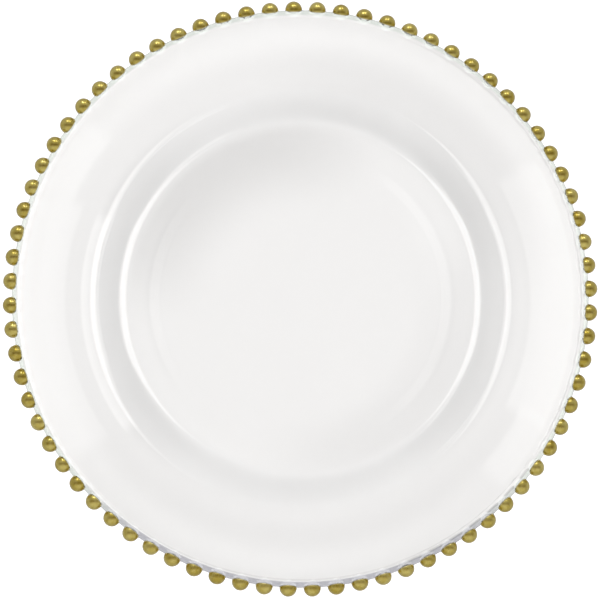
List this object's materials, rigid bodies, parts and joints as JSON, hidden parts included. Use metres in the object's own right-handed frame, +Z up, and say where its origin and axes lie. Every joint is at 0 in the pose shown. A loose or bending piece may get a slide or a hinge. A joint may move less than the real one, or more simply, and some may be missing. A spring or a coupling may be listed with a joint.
{
  "type": "charger plate",
  "caption": "Round charger plate of clear pressed glass with a shallow well, a wide gently rising rim and a row of gilded beads along its edge.",
  "frame": {"origin": "on the table, under the middle of the well", "axes": "+Z up through the middle of the plate; X and Y lie in the table, each midway between two beads"},
  "size_m": [0.3298, 0.3298, 0.0229],
  "materials": {
    "clear_glass": "polished, faintly green in the thick edge",
    "gold_coat": "satin gold paint, fired on"
  },
  "bodies": {
    "root": {"glass_plate": "clear_glass", "gold_bead_coats": "gold_coat"}
  },
  "joints": []
}
